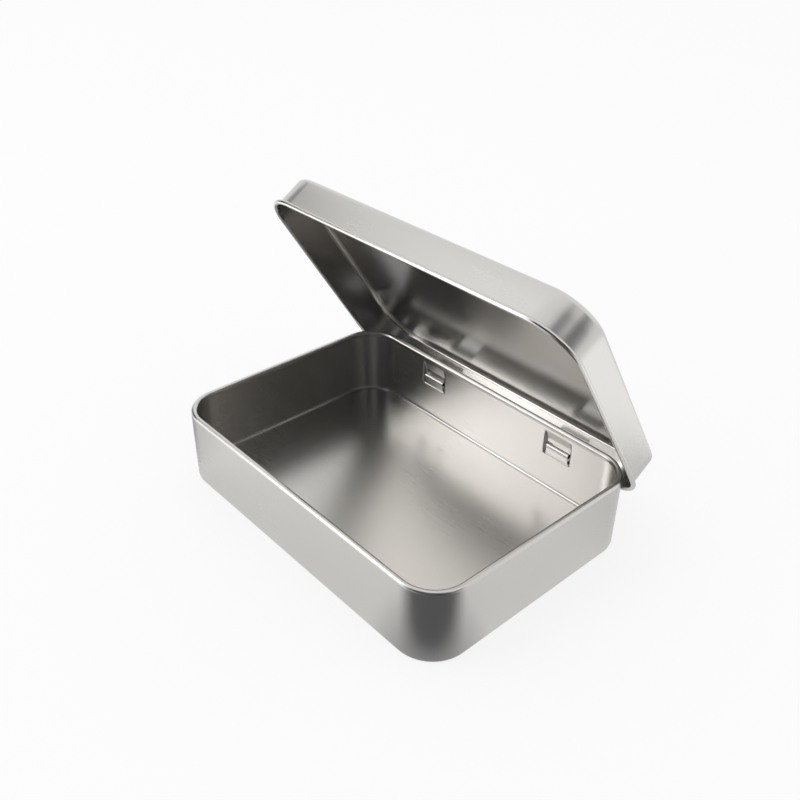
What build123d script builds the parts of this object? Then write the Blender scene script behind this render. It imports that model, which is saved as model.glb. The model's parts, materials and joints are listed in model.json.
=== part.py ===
from build123d import *
from math import acos, cos, degrees, radians, sin, sqrt
import os

# A hinged tin of thin bare tinplate, standing with its lid open as photographed.
# Millimetres. The origin is at the middle of the floor's underside, +Z up,
# +X along the long sides, +Y towards the hinges.

# The sheet, the same for tray and lid
sheet = 0.25

# Tray: outside sizes in plan, height over the rim, outside corner radius in plan
tray_length = 115.0
tray_width = 80.5
tray_height = 24.25
tray_corner = 11.8
foot_radius = 1.2       # outside, between the floor and the wall
rim_curl = 1.9          # outside diameter of the edge rolled inwards
rim_turn = 290          # degrees that the edge is rolled round

# Lid: it hangs over the tray's wall
lid_depth = 11.45       # over the panel and the bead
lid_side_gap = 0.3      # inside the skirt, at both ends
lid_back_gap = 0.3
lid_swing_gap = 0.06    # what the front skirt clears the rim by when it swings over it
lid_top_gap = 0.15      # between the rim and the closed lid
lid_edge_radius = 1.6   # outside, between the panel and the skirt
bead_curl = 1.4         # outside diameter of the edge rolled outwards
bead_turn = 290

# Hinges: two hooks of the lid, each round a bridge of the tray's back wall
hinge_spacing = 54.6    # between the middles of the two hinges
hinge_offset = 1.3      # both stand this far to +X of the tin's middle, as photographed
window_width = 9.2      # opening in the back wall
hook_side_gap = 0.4     # between a hook and the side of its window
axis_behind = 0.75      # from the back wall's outer face out to the hinge axis
axis_drop = 0.6         # from the closed lid's lower edge down to the hinge axis
hook_bend = 0.75        # centre line radius of the hook's bend round the axis
hook_reach = 2.4        # from the axis up to the middle of the hook's curl
hook_step = 0.32        # from the hook's leg in to where its end is rolled
step_bend = 0.45        # centre line radius of the two bends of that step
hook_curl = 1.7         # outside diameter of the hook's rolled end
hook_turn = 285
bridge_drop = 0.5       # from the axis down to the bridge's lower edge
bridge_offset = 0.02    # from the axis in to the middle of the bridge's sheet
stop_gap = 0.05         # between the hook and the bridge with the lid fully open
slot_gap = 0.15         # under the hook, to the lower edge of the window
panel_gap = 0.6         # over the hook's curl, to the edge of the pushed-out panel
pocket_below = 6.75     # from the top of the rim down to where the pushed-out panel is deepest
pocket_slope = 3.3      # height of the panel's slope from there back to the wall
relief_side_gap = 0.4   # beside the pocket, inside the lid's relief
relief_top_gap = 0.4    # from the pocket's deepest place up to the relief's
relief_slope = 1.9      # height of the relief's upper slope
slit_low = 2.5          # from the closed lid's lower edge up to the slit over each hook
slit_high = 5.2

# How far the lid is open, from closed, in degrees
rest_angle = 57.4
full_angle = 100.0

# Places that follow
wall_outer = tray_width / 2
wall_inner = wall_outer - sheet
axis_y = wall_outer + axis_behind
lid_top = tray_height + lid_top_gap + sheet
lid_bottom = lid_top - lid_depth
axis_height = lid_bottom - axis_drop
pocket_top = tray_height - pocket_below
bridge_y = axis_y - bridge_offset
hook_width = window_width - 2 * hook_side_gap
hook_outer = hook_bend + sheet / 2
hook_inner = hook_bend - sheet / 2
step_turn = degrees(acos(1 - hook_step / (2 * step_bend)))
step_rise = 2 * step_bend * sin(radians(step_turn))

# The front skirt swings over the rim on an arc about the low hinge axis, so it
# stands further off the tray than the other sides do.
rim_widest = tray_height - rim_curl / 2 - axis_height
skirt_lowest = lid_bottom + bead_curl / 2 - axis_height
reach_over_rim = axis_y + wall_outer + lid_swing_gap
lid_reach = sqrt(reach_over_rim**2 + rim_widest**2 - skirt_lowest**2)
lid_front_gap = lid_reach - axis_y - wall_outer

lid_length = tray_length + 2 * (lid_side_gap + sheet)
lid_width = tray_width + lid_back_gap + lid_front_gap + 2 * sheet
lid_corner = tray_corner + lid_side_gap + sheet
lid_middle = (lid_back_gap - lid_front_gap) / 2
skirt_outer = lid_middle + lid_width / 2
skirt_inner = skirt_outer - sheet

# The bridge's upper edge stops the hook's inner leg when the lid is fully open.
stop_angle = radians(full_angle - rest_angle)
bridge_inner = bridge_offset + sheet / 2
bridge_rise = (hook_inner - stop_gap - bridge_inner * cos(stop_angle)) / sin(stop_angle)

# The closed hook slopes in over the lower edge of its window.
closed_lean = radians(rest_angle)
slot_bottom = axis_height - slot_gap - (hook_outer - axis_behind * cos(closed_lean)) / sin(closed_lean)
panel_bottom = axis_height + hook_reach + hook_curl / 2 + panel_gap

relief_plate = axis_y + hook_bend
relief_inside = window_width + 2 * (sheet + relief_side_gap)
relief_top = pocket_top + relief_top_gap


def sheet_section(start, heading, steps):
    """Section of bent sheet: its centre line leaves start at heading (degrees) and
    runs through steps, each ("run", length) or ("bend", radius, turn to the left)."""
    left, right = [], []
    point = Vector(*start)
    for step in steps:
        along = Vector(cos(radians(heading)), sin(radians(heading)))
        across = Vector(-along.Y, along.X)
        half = across * (sheet / 2)
        if step[0] == "run":
            end = point + along * step[1]
            left.append(Line(point + half, end + half))
            right.append(Line(point - half, end - half))
        else:
            radius, turn = step[1:]
            side = 1 if turn > 0 else -1
            centre = point + across * (side * radius)
            first = heading - side * 90
            left.append(CenterArc(centre, radius - side * sheet / 2, first, turn))
            right.append(CenterArc(centre, radius + side * sheet / 2, first, turn))
            heading += turn
            end = centre + Vector(cos(radians(first + turn)), sin(radians(first + turn))) * radius
        point = end
    caps = [Line(left[0] @ 0, right[0] @ 0), Line(left[-1] @ 1, right[-1] @ 1)]
    return make_face(left + right + caps)


def round_the_box(section, length, width, corner):
    """Carries a section, drawn outwards from the middle of a corner, round four corners
    and four sides."""
    upright = Plane.XZ * section
    pieces = []
    centres = [(1, 1), (-1, 1), (-1, -1), (1, -1)]
    for quarter, (side_x, side_y) in enumerate(centres):
        middle = Pos(side_x * (length / 2 - corner), side_y * (width / 2 - corner))
        run = (length if quarter % 2 == 0 else width) - 2 * corner
        bend = revolve(upright, Axis.Z, 90)
        straight = extrude(upright, amount=run, dir=(0, 1, 0))
        pieces.append(middle * Rot(0, 0, 90 * quarter) * bend)
        pieces.append(middle * Rot(0, 0, 90 * (quarter + 1)) * straight)
    return pieces


def floor_plate(length, width, corner, inset, low):
    """The flat middle of a pan, up to where its section starts."""
    outline = RectangleRounded(length - 2 * inset, width - 2 * inset, corner - inset)
    return Pos(0, 0, low) * extrude(outline, amount=sheet)


def block(x, width, y_range, z_range):
    """A box of a given width about x."""
    size = (width, y_range[1] - y_range[0], z_range[1] - z_range[0])
    middle = (x, sum(y_range) / 2, sum(z_range) / 2)
    return Pos(*middle) * Box(*size)


def wedge(x, width, outline):
    """A prism of a given width about x, over an outline of (y, z) points."""
    face = Plane.YZ * make_face(Polyline(*outline, close=True))
    return Pos(x - width / 2, 0, 0) * extrude(face, amount=width, dir=(1, 0, 0))


def pushed_out(x, width, from_y, to_y, low, high, slope):
    """The space of an embossed pocket, with its upper end sloping back to from_y."""
    return wedge(x, width, [(from_y, low), (to_y, low), (to_y, high), (from_y, high + slope)])


def swung(part, angle):
    """Turns a part of the lid about the hinge axis by an opening angle."""
    hinge_axis = Axis((0, axis_y, axis_height), (-1, 0, 0))
    return part.rotate(hinge_axis, angle)


def make_tray():
    inset = foot_radius + rim_curl
    section = sheet_section(
        (tray_corner - inset, sheet / 2),
        0,
        [
            ("run", inset - foot_radius),
            ("bend", foot_radius - sheet / 2, 90),
            ("run", tray_height - rim_curl / 2 - foot_radius),
            ("bend", (rim_curl - sheet) / 2, rim_turn),
        ],
    )
    tray = floor_plate(tray_length, tray_width, tray_corner, inset, 0)
    tray += round_the_box(section, tray_length, tray_width, tray_corner)
    pocket_outer = bridge_y + sheet / 2
    pocket_inner = bridge_y - sheet / 2
    for x in hinge_places:
        tray += pushed_out(
            x, window_width + 2 * sheet, wall_inner, pocket_outer, slot_bottom, pocket_top, pocket_slope
        )
        tray -= pushed_out(
            x, window_width, wall_inner, pocket_inner, slot_bottom, pocket_top - sheet / 2, pocket_slope
        )
        tray -= block(x, window_width, (wall_inner, pocket_outer), (slot_bottom, panel_bottom))
    return tray


def make_bridge(x):
    low = axis_height - bridge_drop
    high = axis_height + bridge_rise
    return block(x, window_width, (bridge_y - sheet / 2, bridge_y + sheet / 2), (low, high))


def make_lid():
    inset = lid_edge_radius + bead_curl
    section = sheet_section(
        (lid_corner - inset, lid_top - sheet / 2),
        0,
        [
            ("run", inset - lid_edge_radius),
            ("bend", lid_edge_radius - sheet / 2, -90),
            ("run", lid_depth - lid_edge_radius - bead_curl / 2),
            ("bend", (bead_curl - sheet) / 2, bead_turn),
        ],
    )
    lid = floor_plate(lid_length, lid_width, lid_corner, inset, lid_top - sheet)
    lid += round_the_box(section, lid_length, lid_width, lid_corner)
    lid = Pos(0, lid_middle, 0) * lid
    plate_outer = relief_plate + sheet / 2
    plate_inner = relief_plate - sheet / 2
    relief_width = relief_inside + 2 * sheet
    for x in hinge_places:
        lid -= block(x, relief_width, (skirt_outer, plate_outer + bead_curl), (lid_bottom, relief_top))
        lid += pushed_out(
            x, relief_width, skirt_inner, plate_outer, lid_bottom, relief_top, relief_slope
        )
        lid -= pushed_out(
            x, relief_inside, skirt_inner, plate_inner, lid_bottom, relief_top - sheet / 2, relief_slope
        )
        slit = (lid_bottom + slit_low, lid_bottom + slit_high)
        lid -= block(x, hook_width, (skirt_inner, plate_outer), slit)
    return swung(lid, rest_angle)


def make_hook(x):
    section = sheet_section(
        (relief_plate, lid_bottom),
        -90,
        [
            ("run", lid_bottom - axis_height),
            ("bend", hook_bend, rest_angle - 180),
            ("run", hook_reach - step_rise),
            ("bend", step_bend, step_turn),
            ("bend", step_bend, -step_turn),
            ("bend", (hook_curl - sheet) / 2, -hook_turn),
        ],
    )
    hook = Pos(x - hook_width / 2, 0, 0) * extrude(Plane.YZ * section, amount=hook_width, dir=(1, 0, 0))
    return swung(hook, rest_angle)


hinge_places = (hinge_offset - hinge_spacing / 2, hinge_offset + hinge_spacing / 2)
nodes = {"base_tray": make_tray(), "lid_shell": make_lid()}
for side, x in zip(("left", "right"), hinge_places):
    nodes["hinge_bridge_" + side] = make_bridge(x)
    nodes["hinge_hook_" + side] = make_hook(x)

os.makedirs("parts", exist_ok=True)
for name, part in nodes.items():
    part.label = name
    export_step(part, "parts/" + name + ".step")
    print(name, len(part.solids()), "solid", round(part.volume, 1), "mm3")

print("closed lid clears the front wall by", round(lid_front_gap, 2))
print("window from", round(slot_bottom, 2), "to", round(panel_bottom, 2))
print("bridge from", round(axis_height - bridge_drop, 2), "to", round(axis_height + bridge_rise, 2))
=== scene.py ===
import bpy
import bmesh
import json
from math import acos, cos, degrees, pi, radians, sin, tan
from mathutils import Matrix, Vector


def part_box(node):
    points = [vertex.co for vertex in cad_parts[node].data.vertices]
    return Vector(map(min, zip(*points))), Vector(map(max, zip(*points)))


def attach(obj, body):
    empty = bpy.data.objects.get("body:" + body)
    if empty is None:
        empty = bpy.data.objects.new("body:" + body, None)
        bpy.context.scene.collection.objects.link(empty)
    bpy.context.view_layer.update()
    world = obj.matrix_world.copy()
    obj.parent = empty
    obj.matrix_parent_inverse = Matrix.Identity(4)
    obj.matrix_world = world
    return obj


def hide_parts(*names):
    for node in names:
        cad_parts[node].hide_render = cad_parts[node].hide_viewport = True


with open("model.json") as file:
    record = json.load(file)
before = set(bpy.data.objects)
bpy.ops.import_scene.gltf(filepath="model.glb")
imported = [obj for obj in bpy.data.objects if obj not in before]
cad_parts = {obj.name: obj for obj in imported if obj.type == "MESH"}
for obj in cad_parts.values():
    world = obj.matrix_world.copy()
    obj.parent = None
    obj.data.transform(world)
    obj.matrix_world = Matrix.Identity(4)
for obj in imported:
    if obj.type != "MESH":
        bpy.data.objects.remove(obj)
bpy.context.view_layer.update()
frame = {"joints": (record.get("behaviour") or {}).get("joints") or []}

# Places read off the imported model
mm = 0.001
sheet = 0.25 * mm
near = 0.01 * mm      # two places closer than this count as the same
trayLow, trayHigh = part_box("base_tray")
trayLength = trayHigh.x - trayLow.x
trayWidth = -2 * trayLow.y             # without the pushed-out panels at the back
trayHeight = trayHigh.z
hinge = frame["joints"][0]
axisY, axisZ = hinge["pos_m"][1:]
restAngle = -hinge["range_deg"][0]     # how far the lid is open as stored
hookPlaces = {}
for side in ("left", "right"):
    low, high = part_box("hinge_hook_" + side)
    hookPlaces[side] = ((low.x + high.x) / 2, high.x - low.x)
print("frame loaded, lid open by", restAngle, "degrees")


# Modelling by hand, in edit mode

def startVertex(name, place):
    bpy.ops.object.select_all(action="DESELECT")
    bpy.ops.mesh.primitive_plane_add(size=mm, location=place)
    piece = bpy.context.object
    piece.name = piece.data.name = name
    bpy.ops.object.transform_apply(location=True, rotation=True, scale=True)
    bpy.ops.object.mode_set(mode="EDIT")
    bpy.ops.mesh.select_mode(type="VERT")
    bpy.ops.mesh.merge(type="CENTER")
    return piece


def push(x=0, y=0, z=0):
    bpy.ops.mesh.extrude_region_move(TRANSFORM_OT_translate={"value": (x, y, z)})


def turn(centre, axis, amount, steps):
    # spin goes round left-handed
    bpy.ops.mesh.spin(steps=steps, angle=-radians(amount), center=centre, axis=axis)


def pick(kind, test):
    mode = {"verts": "VERT", "edges": "EDGE", "faces": "FACE"}[kind]
    bpy.ops.mesh.select_mode(type=mode)
    bpy.ops.mesh.select_all(action="DESELECT")
    mesh = bmesh.from_edit_mesh(bpy.context.edit_object.data)
    for part in getattr(mesh, kind):
        if test(part):
            part.select_set(True)
    mesh.select_flush_mode()
    bmesh.update_edit_mesh(bpy.context.edit_object.data)


def middle(part):
    total = Vector()
    for corner in part.verts:
        total += corner.co
    return total / len(part.verts)


def slide(x=0, y=0, z=0):
    bpy.ops.transform.translate(value=(x, y, z))


def carryRound(length, width, corner, middleY, steps, support, backPlaces):
    # the section stands across the front side at x = 0, and goes round the tin to its start
    runX = length / 2 - corner
    runY = width / 2 - corner
    bpy.ops.mesh.select_all(action="SELECT")
    push(x=runX - support)
    push(x=support)
    turn((runX, middleY - runY, 0), (0, 0, 1), 90, steps)
    push(y=support)
    push(y=2 * (runY - support))
    push(y=support)
    turn((runX, middleY + runY, 0), (0, 0, 1), 90, steps)
    here = runX
    for place in [runX - support] + sorted(backPlaces, reverse=True) + [support - runX, -runX]:
        push(x=place - here)
        here = place
    turn((-runX, middleY + runY, 0), (0, 0, 1), 90, steps)
    push(y=-support)
    push(y=-2 * (runY - support))
    push(y=-support)
    turn((-runX, middleY - runY, 0), (0, 0, 1), 90, steps)
    push(x=support)
    push(x=runX - support)
    bpy.ops.mesh.select_all(action="SELECT")
    bpy.ops.mesh.remove_doubles(threshold=near / 10)


def finishMesh(piece, modifiers, smooth=35):
    bpy.ops.object.mode_set(mode="OBJECT")
    for kind, settings in modifiers:
        added = piece.modifiers.new(kind.title(), kind)
        for key, value in settings.items():
            setattr(added, key, value)
        bpy.ops.object.modifier_apply(modifier=added.name)
    bpy.ops.object.select_all(action="DESELECT")
    piece.select_set(True)
    bpy.context.view_layer.objects.active = piece
    bpy.ops.object.shade_smooth_by_angle(angle=radians(smooth))


def swingOpen(piece):
    # from the closed lid's place to the place as stored; rotate turns the other way with no window
    bpy.ops.object.mode_set(mode="EDIT")
    bpy.ops.mesh.select_all(action="SELECT")
    bpy.ops.transform.rotate(
        value=radians(restAngle), orient_axis="X", center_override=(0, axisY, axisZ)
    )
    bpy.ops.object.mode_set(mode="OBJECT")


# Shader maths

class Value:
    def __init__(self, shader, socket):
        self.shader, self.socket = shader, socket

    def maths(self, operation, first, second):
        return self.shader.node("Math", {"operation": operation}, {0: first, 1: second})

    def __add__(self, other):
        return self.maths("ADD", self, other)

    def __sub__(self, other):
        return self.maths("SUBTRACT", self, other)

    def __rsub__(self, other):
        return self.maths("SUBTRACT", other, self)

    def __mul__(self, other):
        return self.maths("MULTIPLY", self, other)

    __radd__ = __add__
    __rmul__ = __mul__


class Shader:
    def __init__(self, holder):
        holder.use_nodes = True
        self.tree = holder.node_tree
        self.tree.nodes.clear()

    def node(self, kind, settings={}, inputs={}, output=0):
        made = self.tree.nodes.new("ShaderNode" + kind)
        for key, value in settings.items():
            if key == "stops":
                self.setStops(made.color_ramp, value)
            else:
                setattr(made, key, value)
        for key, value in inputs.items():
            if isinstance(value, Value):
                self.tree.links.new(value.socket, made.inputs[key])
            else:
                made.inputs[key].default_value = value
        return Value(self, made.outputs[output]) if made.outputs else None

    def setStops(self, ramp, stops):
        while len(ramp.elements) > 1:
            ramp.elements.remove(ramp.elements[-1])
        for number, (place, grey) in enumerate(stops):
            stop = ramp.elements[0] if number == 0 else ramp.elements.new(place)
            stop.position = place
            stop.color = (grey, grey, grey, 1)


tinplate = {
    "light": (0.661, 0.645, 0.622, 1),
    "dark": (0.608, 0.593, 0.572, 1),
    "roughness": 0.28,
    "lidInside": 0.21,        # the lid's inner side is smoother
    "streakRoughness": 0.025,
    "cloudRoughness": 0.04,
    "streakLength": 60,       # per metre, along the sheet's rolling direction
    "streakWidth": 4200,      # per metre, across it
    "streakDetail": 3,
    "streakGrain": 0.6,
    "cloudSize": 28,
    "cloudDetail": 4,
    "cloudGrain": 0.55,
    "share": 0.5,             # of each in the colour
    "middle": 0.5,            # what both noises vary about
    "bump": 0.04,
    "bumpHeight": 0.004 * mm,
}


def makeTinplate(name, lean, inside):
    values = tinplate
    material = bpy.data.materials.new(name)
    shader = Shader(material)
    place = shader.node("TexCoord", output="Object")
    flat = shader.node("Mapping", {}, {"Vector": place, "Rotation": (radians(lean), 0, 0)})
    stretch = (values["streakLength"], values["streakWidth"], values["streakWidth"])
    along = shader.node("Mapping", {}, {"Vector": flat, "Scale": stretch})
    streaks = shader.node(
        "TexNoise",
        {},
        {
            "Vector": along,
            "Scale": 1,
            "Detail": values["streakDetail"],
            "Roughness": values["streakGrain"],
        },
    )
    clouds = shader.node(
        "TexNoise",
        {},
        {
            "Vector": flat,
            "Scale": values["cloudSize"],
            "Detail": values["cloudDetail"],
            "Roughness": values["cloudGrain"],
        },
    )
    mixed = clouds * values["share"] + streaks * values["share"]
    colour = shader.node(
        "Mix",
        {"data_type": "RGBA"},
        {0: mixed, "A": values["light"], "B": values["dark"]},
        2,
    )
    within = shader.node("Attribute", {"attribute_name": "inside"}, output="Fac")
    roughness = (
        (streaks - values["middle"]) * values["streakRoughness"]
        + (clouds - values["middle"]) * values["cloudRoughness"]
        + within * (inside - values["roughness"])
        + values["roughness"]
    )
    bump = shader.node(
        "Bump",
        {},
        {"Strength": values["bump"], "Distance": values["bumpHeight"], "Height": streaks},
    )
    surface = shader.node(
        "BsdfPrincipled",
        {},
        {"Base Color": colour, "Roughness": roughness, "Metallic": 1.0, "Normal": bump},
    )
    shader.node("OutputMaterial", {}, {"Surface": surface})
    return material


def wear(piece, material):
    piece.data.materials.clear()
    piece.data.materials.append(material)


trayTin = makeTinplate("trayTinplate", 0, tinplate["roughness"])
lidTin = makeTinplate("lidTinplate", restAngle, tinplate["lidInside"])


# The tray: floor, wall and the rim rolled inwards

tray = {
    "corner": 11.8 * mm,
    "cornerSteps": 28,
    "support": 0.4 * mm,      # a narrow strip beside each bend keeps the flats flat
    "foot": 1.2 * mm,
    "footSteps": 7,
    "floorEdge": 2.0 * mm,
    "curl": 0.95 * mm,
    "curlTurn": 290,
    "curlSteps": 22,
    "pocketHalf": 4.83 * mm,  # the pushed-out panel over each window
    "openingHalf": 4.6 * mm,  # the window
    "openingLow": 11.89 * mm,
    "openingHigh": 16.45 * mm,
    "pocketHigh": 17.5 * mm,
    "pocketEnd": 20.8 * mm,
    "pocketDepth": 0.855 * mm,
    "cell": 0.247 * mm,       # of the fine mesh round each window
    "rowsBelow": 3,
    "rowsAbove": 4,
    "soften": 2,
    "softenBy": 0.5,
}


def hingeColumns(half, edge, cell):
    # places of the cuts across each hinge, with one more at each side
    places = []
    for centre, width in hookPlaces.values():
        count = round(2 * half / cell)
        for number in range(count + 1):
            places.append(centre - half + number * 2 * half / count)
        places += [centre - half - edge, centre + half + edge]
    return places


def atHinge(x, half):
    return any(abs(x - centre) < half for centre, width in hookPlaces.values())


def makeTray():
    values = tray
    front = trayLow.y
    foot, curl, edge, support = values["foot"], values["curl"], values["floorEdge"], values["support"]
    piece = startVertex("trayBody", (0, front + foot + edge, 0))
    push(y=support - edge)
    push(y=-support)
    turn((0, front + foot, foot), (1, 0, 0), -90, values["footSteps"])
    here = foot
    low, cell, below = values["openingLow"], values["cell"], values["rowsBelow"]
    rows = [foot + support, low - (below + 1) * cell]
    count = round((values["pocketEnd"] - low) / cell)
    step = (values["pocketEnd"] - low) / count
    rows += [low + number * step for number in range(-below, count + values["rowsAbove"] + 1)]
    rows += [trayHeight - curl - support / 2, trayHeight - curl]
    for row in rows:
        push(z=row - here)
        here = row
    turn((0, front + curl, trayHeight - curl), (1, 0, 0), -values["curlTurn"], values["curlSteps"])
    columns = hingeColumns(values["pocketHalf"], cell, cell)
    for centre, width in hookPlaces.values():
        for number in (2, 3, 4):
            out = values["pocketHalf"] + number * cell
            columns += [centre - out, centre + out]
    carryRound(trayLength, trayWidth, values["corner"], 0, values["cornerSteps"], support, columns)
    pick("edges", lambda e: e.is_boundary and abs(middle(e).z) < near)
    bpy.ops.mesh.edge_face_add()
    back = trayWidth / 2
    half = values["pocketHalf"] + near
    end = values["pocketEnd"]
    slope = end - values["pocketHigh"]
    for level in [row for row in rows if low + near < row < end - near]:
        pick(
            "verts",
            lambda v: v.co.y > back - near
            and abs(v.co.z - level) < near
            and atHinge(v.co.x, half),
        )
        slide(y=values["pocketDepth"] * min(1, (end - level) / slope))
    zone = half + 3 * cell
    for repeat in range(values["soften"]):
        pick(
            "verts",
            lambda v: v.co.y > back - near
            and low - 2 * step < v.co.z < end + 2 * step
            and atHinge(v.co.x, zone),
        )
        bpy.ops.mesh.vertices_smooth(factor=values["softenBy"], repeat=1)
    # the wall under the window stays flat, so that the hook passes
    pick(
        "verts",
        lambda v: v.co.y > back - near
        and low - below * step < v.co.z < low + 0.4 * step
        and atHinge(v.co.x, zone),
    )
    bpy.ops.transform.resize(value=(1, 0, 1), center_override=(0, back, 0))
    pick(
        "faces",
        lambda f: middle(f).y > back - 10 * near
        and low < middle(f).z < values["openingHigh"]
        and atHinge(middle(f).x, values["openingHalf"]),
    )
    bpy.ops.mesh.delete(type="FACE")
    bpy.ops.mesh.select_all(action="SELECT")
    bpy.ops.mesh.normals_make_consistent(inside=False)
    finishMesh(piece, [("SOLIDIFY", {"thickness": sheet, "offset": -1, "use_even_offset": True})])
    wear(piece, trayTin)
    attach(piece, "tray")
    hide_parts("base_tray")


# The lid, made closed and then swung open

lid = {
    "sideGap": 0.3 * mm,
    "backGap": 0.3 * mm,
    "frontGap": 0.7525 * mm,
    "topGap": 0.15 * mm,
    "skirtAboveAxis": 0.6 * mm,     # the closed skirt's lower edge over the hinge axis
    "corner": 12.1 * mm,
    "cornerSteps": 28,
    "support": 0.4 * mm,
    "edge": 1.35 * mm,
    "edgeSteps": 7,
    "panelEdge": 2.0 * mm,
    "bead": 0.7 * mm,
    "beadTurn": 290,
    "beadSteps": 20,
    "reliefHalf": 5.3 * mm,
    "reliefSide": 0.22 * mm,
    "reliefLow": 17.9 * mm,
    "reliefHigh": 19.8 * mm,
    "reliefDepth": 1.075 * mm,
    "reliefRows": 3,                # down to the slit
    "crease": 0.18 * mm,            # the round of each fold in a relief
    "creaseSteps": 3,
    "creaseAngle": 30,
    "slitLow": 2.5 * mm,            # above the skirt's lower edge
    "slitHigh": 5.2 * mm,
}


def makeLid():
    values = lid
    back = trayWidth / 2 + values["backGap"]
    front = -trayWidth / 2 - values["frontGap"]
    top = trayHeight + values["topGap"]
    bottom = axisZ + values["skirtAboveAxis"]
    edge, bead, support = values["edge"], values["bead"], values["support"]
    piece = startVertex("lidBody", (0, front + edge + values["panelEdge"], top))
    push(y=support - values["panelEdge"])
    push(y=-support)
    turn((0, front + edge, top - edge), (1, 0, 0), 90, values["edgeSteps"])
    here = top - edge
    slitFoot, slitTop = bottom + values["slitLow"], bottom + values["slitHigh"]
    reliefLow, reliefHigh = values["reliefLow"], values["reliefHigh"]
    count = values["reliefRows"]
    drop = (reliefHigh - slitTop) / count
    rows = [reliefHigh - number * drop for number in range(count + 1)]
    rows += [reliefLow, reliefLow - drop, slitFoot, bottom + bead + support, bottom + bead]
    for row in rows:
        push(z=row - here)
        here = row
    turn((0, front - bead, bottom + bead), (1, 0, 0), -values["beadTurn"], values["beadSteps"])
    length = trayLength + 2 * values["sideGap"]
    outside = values["reliefHalf"] + values["reliefSide"]
    slitHalf = hookPlaces["left"][1] / 2
    columns = hingeColumns(slitHalf, values["reliefHalf"] - slitHalf, slitHalf / 2)
    columns += [centre + way * outside for centre, width in hookPlaces.values() for way in (-1, 1)]
    carryRound(
        length, back - front, values["corner"], (back + front) / 2,
        values["cornerSteps"], support, columns,
    )
    pick("edges", lambda e: e.is_boundary and abs(middle(e).z - top) < near)
    bpy.ops.mesh.edge_face_add()
    # no bead across a relief, whose edge runs straight down
    pick(
        "faces",
        lambda f: middle(f).y > back + near / 2
        and middle(f).z < bottom + 3 * bead
        and atHinge(middle(f).x, outside),
    )
    bpy.ops.mesh.delete(type="FACE")
    pick(
        "edges",
        lambda e: e.is_boundary
        and abs(middle(e).z - bottom - bead) < near
        and middle(e).y > back - near
        and atHinge(middle(e).x, outside),
    )
    push(z=-bead)
    half = values["reliefHalf"] + near
    for level in rows[1:] + [bottom]:
        pick(
            "verts",
            lambda v: abs(v.co.y - back) < near
            and abs(v.co.z - level) < near
            and atHinge(v.co.x, half),
        )
        slide(y=values["reliefDepth"] * min(1, (reliefHigh - level) / (reliefHigh - reliefLow)))
    pick(
        "faces",
        lambda f: middle(f).y > back
        and slitFoot < middle(f).z < slitTop
        and atHinge(middle(f).x, slitHalf),
    )
    bpy.ops.mesh.delete(type="FACE")
    bpy.ops.mesh.select_all(action="SELECT")
    bpy.ops.mesh.normals_make_consistent(inside=False)
    crease = {
        "width": values["crease"],
        "segments": values["creaseSteps"],
        "limit_method": "ANGLE",
        "angle_limit": radians(values["creaseAngle"]),
    }
    # the material reads this group to know the inner side
    piece.vertex_groups.new(name="inside")
    thick = {
        "thickness": sheet,
        "offset": 1,
        "use_even_offset": True,
        "shell_vertex_group": "inside",
    }
    finishMesh(piece, [("BEVEL", crease), ("SOLIDIFY", thick)])
    swingOpen(piece)
    wear(piece, lidTin)
    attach(piece, "lid")
    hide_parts("lid_shell")


# The hooks of the lid and the bridges of the tray that they go round

hook = {
    "bend": 0.75 * mm,
    "bendSteps": 12,
    "reach": 2.4 * mm,
    "step": 0.32 * mm,        # inwards, under the curl
    "stepBend": 0.45 * mm,
    "stepSteps": 5,
    "curl": 0.725 * mm,
    "curlTurn": 285,
    "curlSteps": 22,
}


def makeHook(side):
    values = hook
    centre, width = hookPlaces[side]
    bend, curl = values["bend"], values["curl"]
    name = "hook" + side.title()
    piece = startVertex(name, (centre - width / 2, axisY + bend, axisZ + lid["skirtAboveAxis"]))
    push(z=-lid["skirtAboveAxis"])
    turn((0, axisY, axisZ), (1, 0, 0), restAngle - 180, values["bendSteps"])
    lean = radians(restAngle)
    up = Vector((0, -sin(lean), cos(lean)))
    out = Vector((0, cos(lean), sin(lean)))
    small = values["stepBend"]
    angle = acos(1 - values["step"] / (2 * small))
    rise, shift = small * sin(angle), small * (1 - cos(angle))
    leg = up * (values["reach"] - 2 * rise)
    push(y=leg.y, z=leg.z)
    here = Vector((0, axisY, axisZ)) - out * bend + leg
    turn(here - out * small, (1, 0, 0), degrees(angle), values["stepSteps"])
    here += up * rise - out * shift
    second = here + (out * cos(angle) + up * sin(angle)) * small
    turn(second, (1, 0, 0), -degrees(angle), values["stepSteps"])
    here += up * rise - out * shift
    turn(here + out * curl, (1, 0, 0), -values["curlTurn"], values["curlSteps"])
    bpy.ops.mesh.select_all(action="SELECT")
    push(x=width)
    bpy.ops.mesh.select_all(action="SELECT")
    bpy.ops.mesh.normals_make_consistent(inside=False)
    finishMesh(piece, [("SOLIDIFY", {"thickness": sheet, "offset": 0, "use_even_offset": True})])
    swingOpen(piece)
    wear(piece, lidTin)
    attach(piece, "lid")
    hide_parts("hinge_hook_" + side)


bridge = {
    "edge": 0.06 * mm,
    "edgeSteps": 3,
}


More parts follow.
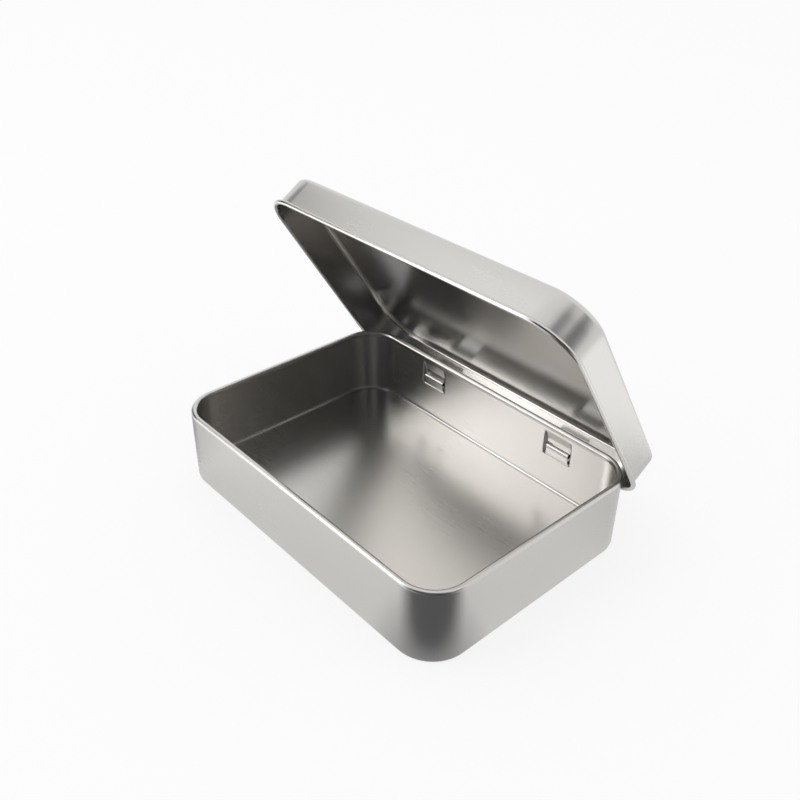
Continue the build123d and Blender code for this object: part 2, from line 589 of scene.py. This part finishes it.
def makeBridge(side):
    values = bridge
    low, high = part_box("hinge_bridge_" + side)
    bpy.ops.object.select_all(action="DESELECT")
    bpy.ops.mesh.primitive_cube_add(size=1, location=(low + high) / 2, scale=high - low)
    piece = bpy.context.object
    piece.name = piece.data.name = "bridge" + side.title()
    bpy.ops.object.transform_apply(location=True, rotation=True, scale=True)
    bpy.ops.object.mode_set(mode="EDIT")
    pick("edges", lambda e: abs(e.verts[0].co.x - e.verts[1].co.x) > mm)
    bpy.ops.mesh.bevel(offset=values["edge"], segments=values["edgeSteps"])
    finishMesh(piece, [])
    wear(piece, trayTin)
    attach(piece, "tray")
    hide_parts("hinge_bridge_" + side)


makeTray()
print("tray made")
makeLid()
print("lid made")
for side in hookPlaces:
    makeHook(side)
    makeBridge(side)
print("hinges made")


# Camera at the photograph's view

camera = {
    "azimuth": 47.789,
    "elevation": 33.023,
    "roll": 0.773,
    "distance": 312.894 * mm,
    "target": (-27.788 * mm, 26.127 * mm, 12.0 * mm),
    "lens": 41.79,
    "sensor": 36,
    "nearest": 0.01,
    "furthest": 20,
}


def around(azimuth, elevation, distance):
    turned, lifted = radians(azimuth), radians(elevation)
    level = distance * cos(lifted)
    return Vector((level * sin(turned), -level * cos(turned), distance * sin(lifted)))


def makeCamera():
    values = camera
    roll = radians(values["roll"])
    back = around(values["azimuth"], values["elevation"], 1)
    right = (-back).cross(Vector((0, 0, 1))).normalized()
    up = right.cross(-back)
    rolledRight = right * cos(roll) + up * sin(roll)
    rolledUp = up * cos(roll) - right * sin(roll)
    data = bpy.data.cameras.new("camera")
    data.lens, data.sensor_width = values["lens"], values["sensor"]
    data.clip_start, data.clip_end = values["nearest"], values["furthest"]
    seat = bpy.data.objects.new("camera", data)
    bpy.context.scene.collection.objects.link(seat)
    turned = Matrix((rolledRight, rolledUp, back)).transposed().to_4x4()
    turned.translation = Vector(values["target"]) + back * values["distance"]
    seat.matrix_world = turned
    bpy.context.scene.camera = seat


# Studio: a white table under a white sky with a soft lamp at the left front. Round them stand
# and lie cards that only the metal sees, glowing sheets with no lamp: painted reflections of dark and
# bright surroundings and painted light and shade on the table.

studio = {
    "floorSize": 8,
    "floorColour": (0.8, 0.8, 0.8, 1),
    "floorSeen": 0.8,         # how much of the floor is plain white to the camera
    "floorMirrored": 0.5,     # and to the metal
    "sky": 0.99,
    "lampAzimuth": 325,       # from -Y towards +X
    "lampElevation": 50,
    "lampDistance": 1.2,
    "lampSize": 0.9,
    "lampStrength": 1.2,      # brightness of its face, where the table is nearly 1
    "cardDistance": 1.6,
    "cardSteps": 12,
    "stripDistance": 1.5,
}

# dark cards bent round the tin that glow with a dark colour and only the metal sees, painted dark
# reflections of the surroundings: first and last azimuth, upper edge's elevation, colour
darkReflectionCards = {
    "cameraCard": (-14, 86, 64, (0.05, 0.053, 0.057, 1)),
    "sideCard": (86, 111, 36, (0.15, 0.15, 0.15, 1)),
    "leftCard": (266, 307, 41, (0.08, 0.08, 0.08, 1)),
}

# a strip of light that leans, a card that glows with no lamp behind it and only the metal sees, a
# painted highlight: azimuth and elevation of its corners, colour
stripCard = ([(332, 10), (318, 10), (292, 55), (320, 55)], (3.5, 3.5, 3.5, 1))

# soft round patches over the table that only the metal sees, painted light and shade on the table in
# its reflections: azimuth and distance of the middle, length and width, height over the table, the
# share of the radius that fades, colour
paintedTableLightAndShade = {
    # painted shade far out on the table towards the camera
    "cameraPatch": (57, 900 * mm, 1400 * mm, 1000 * mm, 0.1 * mm, 0.3, (0.03, 0.032, 0.035, 1)),
    # painted shade on the table in front of the near corner
    "cornerPatch": (51, 351 * mm, 600 * mm, 245 * mm, 0.15 * mm, 0.07, (0.122, 0.126, 0.133, 1)),
    # painted pool of the lamp's light on the table towards the lamp
    "lampPatch": (319, 720 * mm, 1300 * mm, 700 * mm, 0.1 * mm, 0.3, (2.35, 2.35, 2.35, 1)),
    # painted contact shade on the table round the tin
    "nearPatch": (0, 0, 112 * mm, 180 * mm, 0.05 * mm, 0.2, (0.84, 0.84, 0.84, 1)),
    # painted shade on the table at the left
    "leftPatch": (270, 100 * mm, 110 * mm, 190 * mm, 0.08 * mm, 0.4, (0.35, 0.35, 0.35, 1)),
    # painted shade on the table by the back corner
    "backPatch": (136, 88 * mm, 70 * mm, 80 * mm, 0.08 * mm, 0.5, (0.74, 0.74, 0.74, 1)),
    # painted light on the table at the right, brighter than the white floor
    "sidePatch": (127, 190 * mm, 190 * mm, 200 * mm, 0.06 * mm, 0.5, (1.27, 1.27, 1.27, 1)),
}

# and standing ones, glowing sheets with no lamp that only the metal sees, a painted reflection:
# azimuth, elevation, distance, size, the share that fades, colour
paintedStandingGlows = {
    "cameraGlow": (38, 32, 1.4, 0.52, 0.5, (0.3, 0.3, 0.3, 1)),
}


def paintReflectionCard(card, colour, fade=0):
    material = bpy.data.materials.new(card.name)
    shader = Shader(material)
    # each card glows with its colour and no lamp behind it, a painted reflection
    glow = shader.node("Emission", {}, {"Color": colour, "Strength": 1.0})
    if fade:
        place = shader.node("TexCoord", output="Object")
        inwards = shader.node("TexGradient", {"gradient_type": "SPHERICAL"}, {"Vector": place}, 1)
        share = shader.node("ValToRGB", {"stops": [(0, 0), (fade, 1)]}, {0: inwards})
        nothing = shader.node("BsdfTransparent")
        glow = shader.node("MixShader", {}, {0: share, 1: nothing, 2: glow})
    shader.node("OutputMaterial", {}, {"Surface": glow})
    card.data.materials.append(material)
    # only the metal's reflections see the card
    card.visible_camera = card.visible_diffuse = card.visible_shadow = False


def makeCards():
    away = studio["cardDistance"]
    # the painted dark reflections standing round the tin
    for name, (first, last, upTo, colour) in darkReflectionCards.items():
        card = startVertex(name, around(first, 0, away))
        push(z=away * tan(radians(upTo)))
        bpy.ops.mesh.select_all(action="SELECT")
        turn((0, 0, 0), (0, 0, 1), last - first, studio["cardSteps"])
        bpy.ops.object.mode_set(mode="OBJECT")
        paintReflectionCard(card, colour)
    # the glowing strip, a painted highlight
    corners, colour = stripCard
    away = studio["stripDistance"]
    here = around(*corners[0], away)
    card = startVertex("stripCard", here)
    for corner in corners[1:]:
        there = around(*corner, away)
        push(*(there - here))
        here = there
    bpy.ops.mesh.select_all(action="SELECT")
    bpy.ops.mesh.edge_face_add()
    bpy.ops.object.mode_set(mode="OBJECT")
    paintReflectionCard(card, colour)


def addPatch(name, place, turned, size, fade, colour):
    bpy.ops.object.select_all(action="DESELECT")
    bpy.ops.mesh.primitive_plane_add(size=2, location=place, rotation=turned)
    patch = bpy.context.object
    patch.name = name
    patch.scale = (size[0] / 2, size[1] / 2, 1)
    paintReflectionCard(patch, colour, fade)


def makePatches():
    for name, (azimuth, away, length, width, height, fade, colour) in paintedTableLightAndShade.items():
        place = around(azimuth, 0, away) + Vector((0, 0, height))
        addPatch(name, place, (0, 0, radians(azimuth)), (width, length), fade, colour)
    for name, (azimuth, elevation, away, size, fade, colour) in paintedStandingGlows.items():
        turned = (radians(90 - elevation), 0, radians(azimuth))
        addPatch(name, around(azimuth, elevation, away), turned, (size, size), fade, colour)


def makeStudio():
    values = studio
    bpy.ops.object.select_all(action="DESELECT")
    bpy.ops.mesh.primitive_plane_add(size=values["floorSize"], location=(0, 0, 0))
    floor = bpy.context.object
    floor.name = "floor"
    material = bpy.data.materials.new("whiteTable")
    shader = Shader(material)
    paint = shader.node("BsdfDiffuse", {}, {"Color": values["floorColour"]})
    glow = shader.node("Emission", {}, {"Color": (1, 1, 1, 1), "Strength": 1.0})
    share = (
        shader.node("LightPath", output="Is Camera Ray") * values["floorSeen"]
        + shader.node("LightPath", output="Is Glossy Ray") * values["floorMirrored"]
    )
    floorLook = shader.node("MixShader", {}, {0: share, 1: paint, 2: glow})
    shader.node("OutputMaterial", {}, {"Surface": floorLook})
    floor.data.materials.append(material)

    world = bpy.data.worlds.new("studio")
    bpy.context.scene.world = world
    sky = Shader(world)
    light = sky.node("Background", {}, {"Color": (1, 1, 1, 1), "Strength": values["sky"]})
    sky.node("OutputWorld", {}, {"Surface": light})

    lamp = bpy.data.lights.new("softLamp", "AREA")
    lamp.size = values["lampSize"]
    lamp.energy = values["lampStrength"] * pi * lamp.size**2
    holder = bpy.data.objects.new("softLamp", lamp)
    bpy.context.scene.collection.objects.link(holder)
    place = around(values["lampAzimuth"], values["lampElevation"], values["lampDistance"])
    turned = place.to_track_quat("Z", "Y").to_matrix().to_4x4()
    holder.matrix_world = Matrix.Translation(place) @ turned
    holder.visible_camera = holder.visible_glossy = False


makeCamera()
makeStudio()
makeCards()
makePatches()
view = bpy.context.scene.view_settings
view.view_transform = "Standard"
print("camera and studio made")
